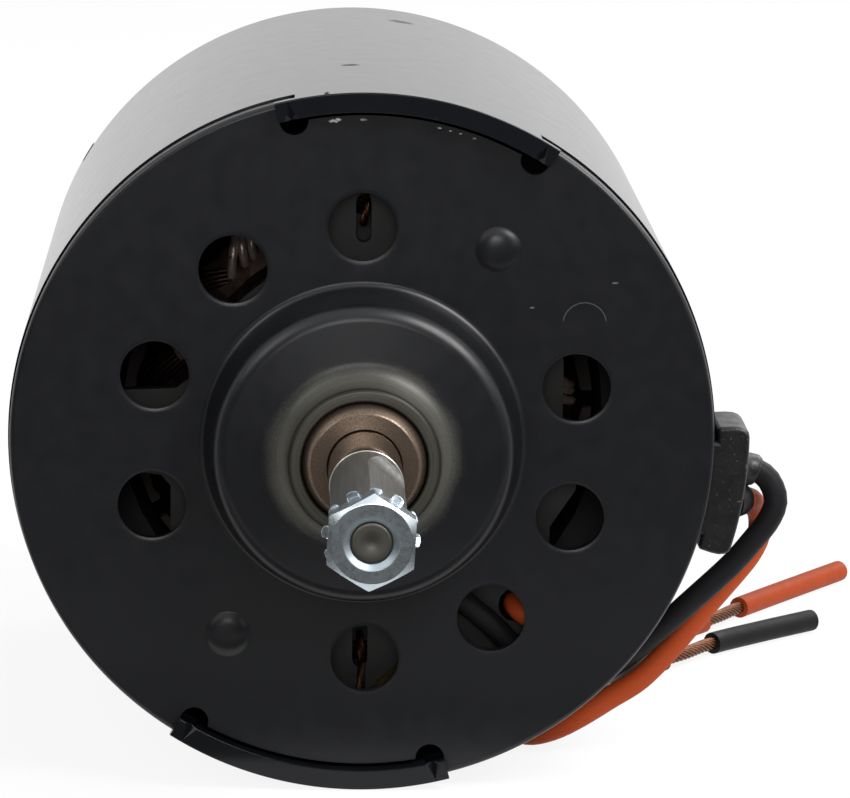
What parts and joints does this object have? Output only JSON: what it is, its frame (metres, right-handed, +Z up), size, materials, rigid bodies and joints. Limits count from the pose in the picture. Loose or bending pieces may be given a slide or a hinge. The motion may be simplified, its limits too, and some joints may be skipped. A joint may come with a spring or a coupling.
{
  "type": "blower motor",
  "caption": "Round brushed motor for a cabin fan: black staked steel case with a vented end plate, long shaft with a flat and a threaded end, and loose wire leads from a side grommet.",
  "frame": {"origin": "centre of the front end plate's flat outer face, on the shaft's axis", "axes": "-Y along the shaft towards its threaded end, +Z up, +X to the right as seen from the shaft's end, on the side of the lead grommet"},
  "size_m": [0.1056, 0.1473, 0.078],
  "materials": {
    "black_paint": "satin",
    "bronze": "satin",
    "bright_steel": "polished",
    "spring_steel": "satin",
    "felt": "matte",
    "laminations": "satin",
    "enamelled_copper": "satin",
    "copper": "satin",
    "fibre": "matte",
    "phenolic": "satin",
    "ferrite": "matte",
    "brass": "satin",
    "carbon": "satin",
    "zinc": "polished",
    "rubber": "satin",
    "black_cover": "satin",
    "orange_cover": "satin"
  },
  "bodies": {
    "housing": {"yoke": "black_paint", "front_end_plate": "black_paint", "rear_end_plate": "black_paint", "front_bearing": "bronze", "rear_bearing": "bronze", "card_post_1": "bright_steel", "card_post_2": "bright_steel", "front_bearing_retainer": "spring_steel", "rear_bearing_retainer": "spring_steel", "upper_magnet_clip": "spring_steel", "lower_magnet_clip": "spring_steel", "upper_brush_spring": "spring_steel", "lower_brush_spring": "spring_steel", "front_felt_wick": "felt", "rear_felt_wick": "felt", "black_lead_strands": "copper", "orange_lead_strands": "copper", "brush_card": "phenolic", "left_magnet": "ferrite", "right_magnet": "ferrite", "upper_brush_holder": "brass", "lower_brush_holder": "brass", "upper_terminal": "brass", "lower_terminal": "brass", "lead_grommet": "rubber", "black_lead": "black_cover", "black_lead_inner": "black_cover", "black_lead_slug": "black_cover", "orange_lead": "orange_cover", "orange_lead_inner": "orange_cover", "orange_lead_slug": "orange_cover"},
    "rotor": {"shaft": "bright_steel", "hex_nut": "zinc", "lock_washer": "zinc", "armature_core": "laminations", "front_insulator": "fibre", "rear_insulator": "fibre", "armature_winding": "enamelled_copper", "commutator_hub": "phenolic", "commutator_bar_01": "copper", "commutator_bar_02": "copper", "commutator_bar_03": "copper", "commutator_bar_04": "copper", "commutator_bar_05": "copper", "commutator_bar_06": "copper", "commutator_bar_07": "copper", "commutator_bar_08": "copper", "commutator_bar_09": "copper", "commutator_bar_10": "copper", "commutator_bar_11": "copper", "commutator_bar_12": "copper", "front_thrust_washer": "fibre", "rear_thrust_washer": "fibre", "oil_slinger": "spring_steel"},
    "upper_brush": {"upper_brush": "carbon", "upper_pigtail": "copper"},
    "lower_brush": {"lower_brush": "carbon", "lower_pigtail": "copper"}
  },
  "joints": [
    {"name": "rotor_spin", "type": "hinge", "parent": "housing", "child": "rotor", "pos_m": [0, 0, 0], "axis": [0, -1, 0], "continuous": true},
    {"name": "upper_brush_slide", "type": "slide", "parent": "housing", "child": "upper_brush", "axis": [0, 0, 1], "range_m": [0, 0.0015], "stiffness_N_per_m": 100, "springref_m": -0.006, "deforming": ["upper_brush_spring"]},
    {"name": "lower_brush_slide", "type": "slide", "parent": "housing", "child": "lower_brush", "axis": [0, 0, -1], "range_m": [0, 0.0015], "stiffness_N_per_m": 100, "springref_m": -0.006, "deforming": ["lower_brush_spring"]}
  ]
}
